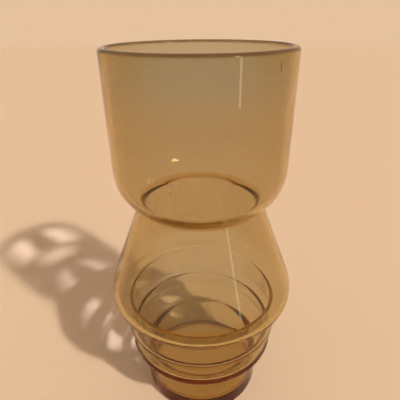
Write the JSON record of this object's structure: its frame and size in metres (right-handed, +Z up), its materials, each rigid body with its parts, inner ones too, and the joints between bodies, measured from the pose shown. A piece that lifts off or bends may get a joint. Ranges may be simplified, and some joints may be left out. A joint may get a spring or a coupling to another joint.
{
  "type": "hooped glass vase",
  "caption": "Open-topped blown glass vase with a rounded cup, pinched waist, conical body with a rounded lip, stepped hoops below it and a plain thick-bottomed foot.",
  "frame": {"origin": "centre of the flat underside of the foot, on the plane the vase stands on", "axes": "+Z up the axis of revolution from the foot to the rim; +X and +Y are equivalent, and the picture looks along +Y"},
  "size_m": [0.1022, 0.1022, 0.2],
  "materials": {
    "amber_glass": "clear light amber blown glass, fire-polished rim"
  },
  "bodies": {
    "root": {"vase": "amber_glass"}
  },
  "joints": []
}
